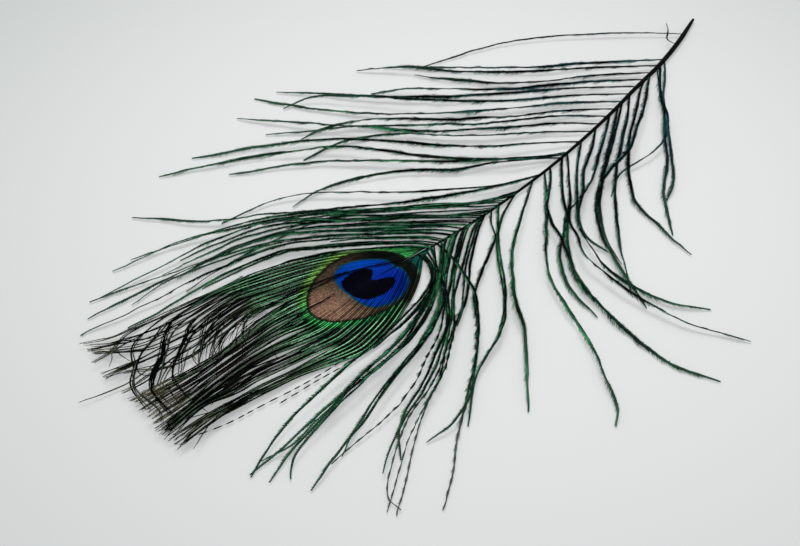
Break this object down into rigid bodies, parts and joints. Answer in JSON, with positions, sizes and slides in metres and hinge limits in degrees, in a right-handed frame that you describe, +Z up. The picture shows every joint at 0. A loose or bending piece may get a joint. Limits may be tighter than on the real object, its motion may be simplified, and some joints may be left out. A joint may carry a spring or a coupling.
{
  "type": "peacock feather",
  "caption": "Cut peacock eye feather lying face up: bare quill, loose curving barbs on both sides, a round blue and bronze eye and a fan of locks at the tip.",
  "frame": {"origin": "under the middle of the feather's length and breadth, on the surface that it lies on", "axes": "+Y from the cut quill to the tips of the fan, +Z up out of the feather's face, +X to its right side seen from above"},
  "size_m": [0.2168, 0.3091, 0.0054],
  "materials": {
    "feather": "dark green iridescent barbs round a blue and bronze eye"
  },
  "bodies": {
    "root": {"feather": "feather"}
  },
  "joints": []
}
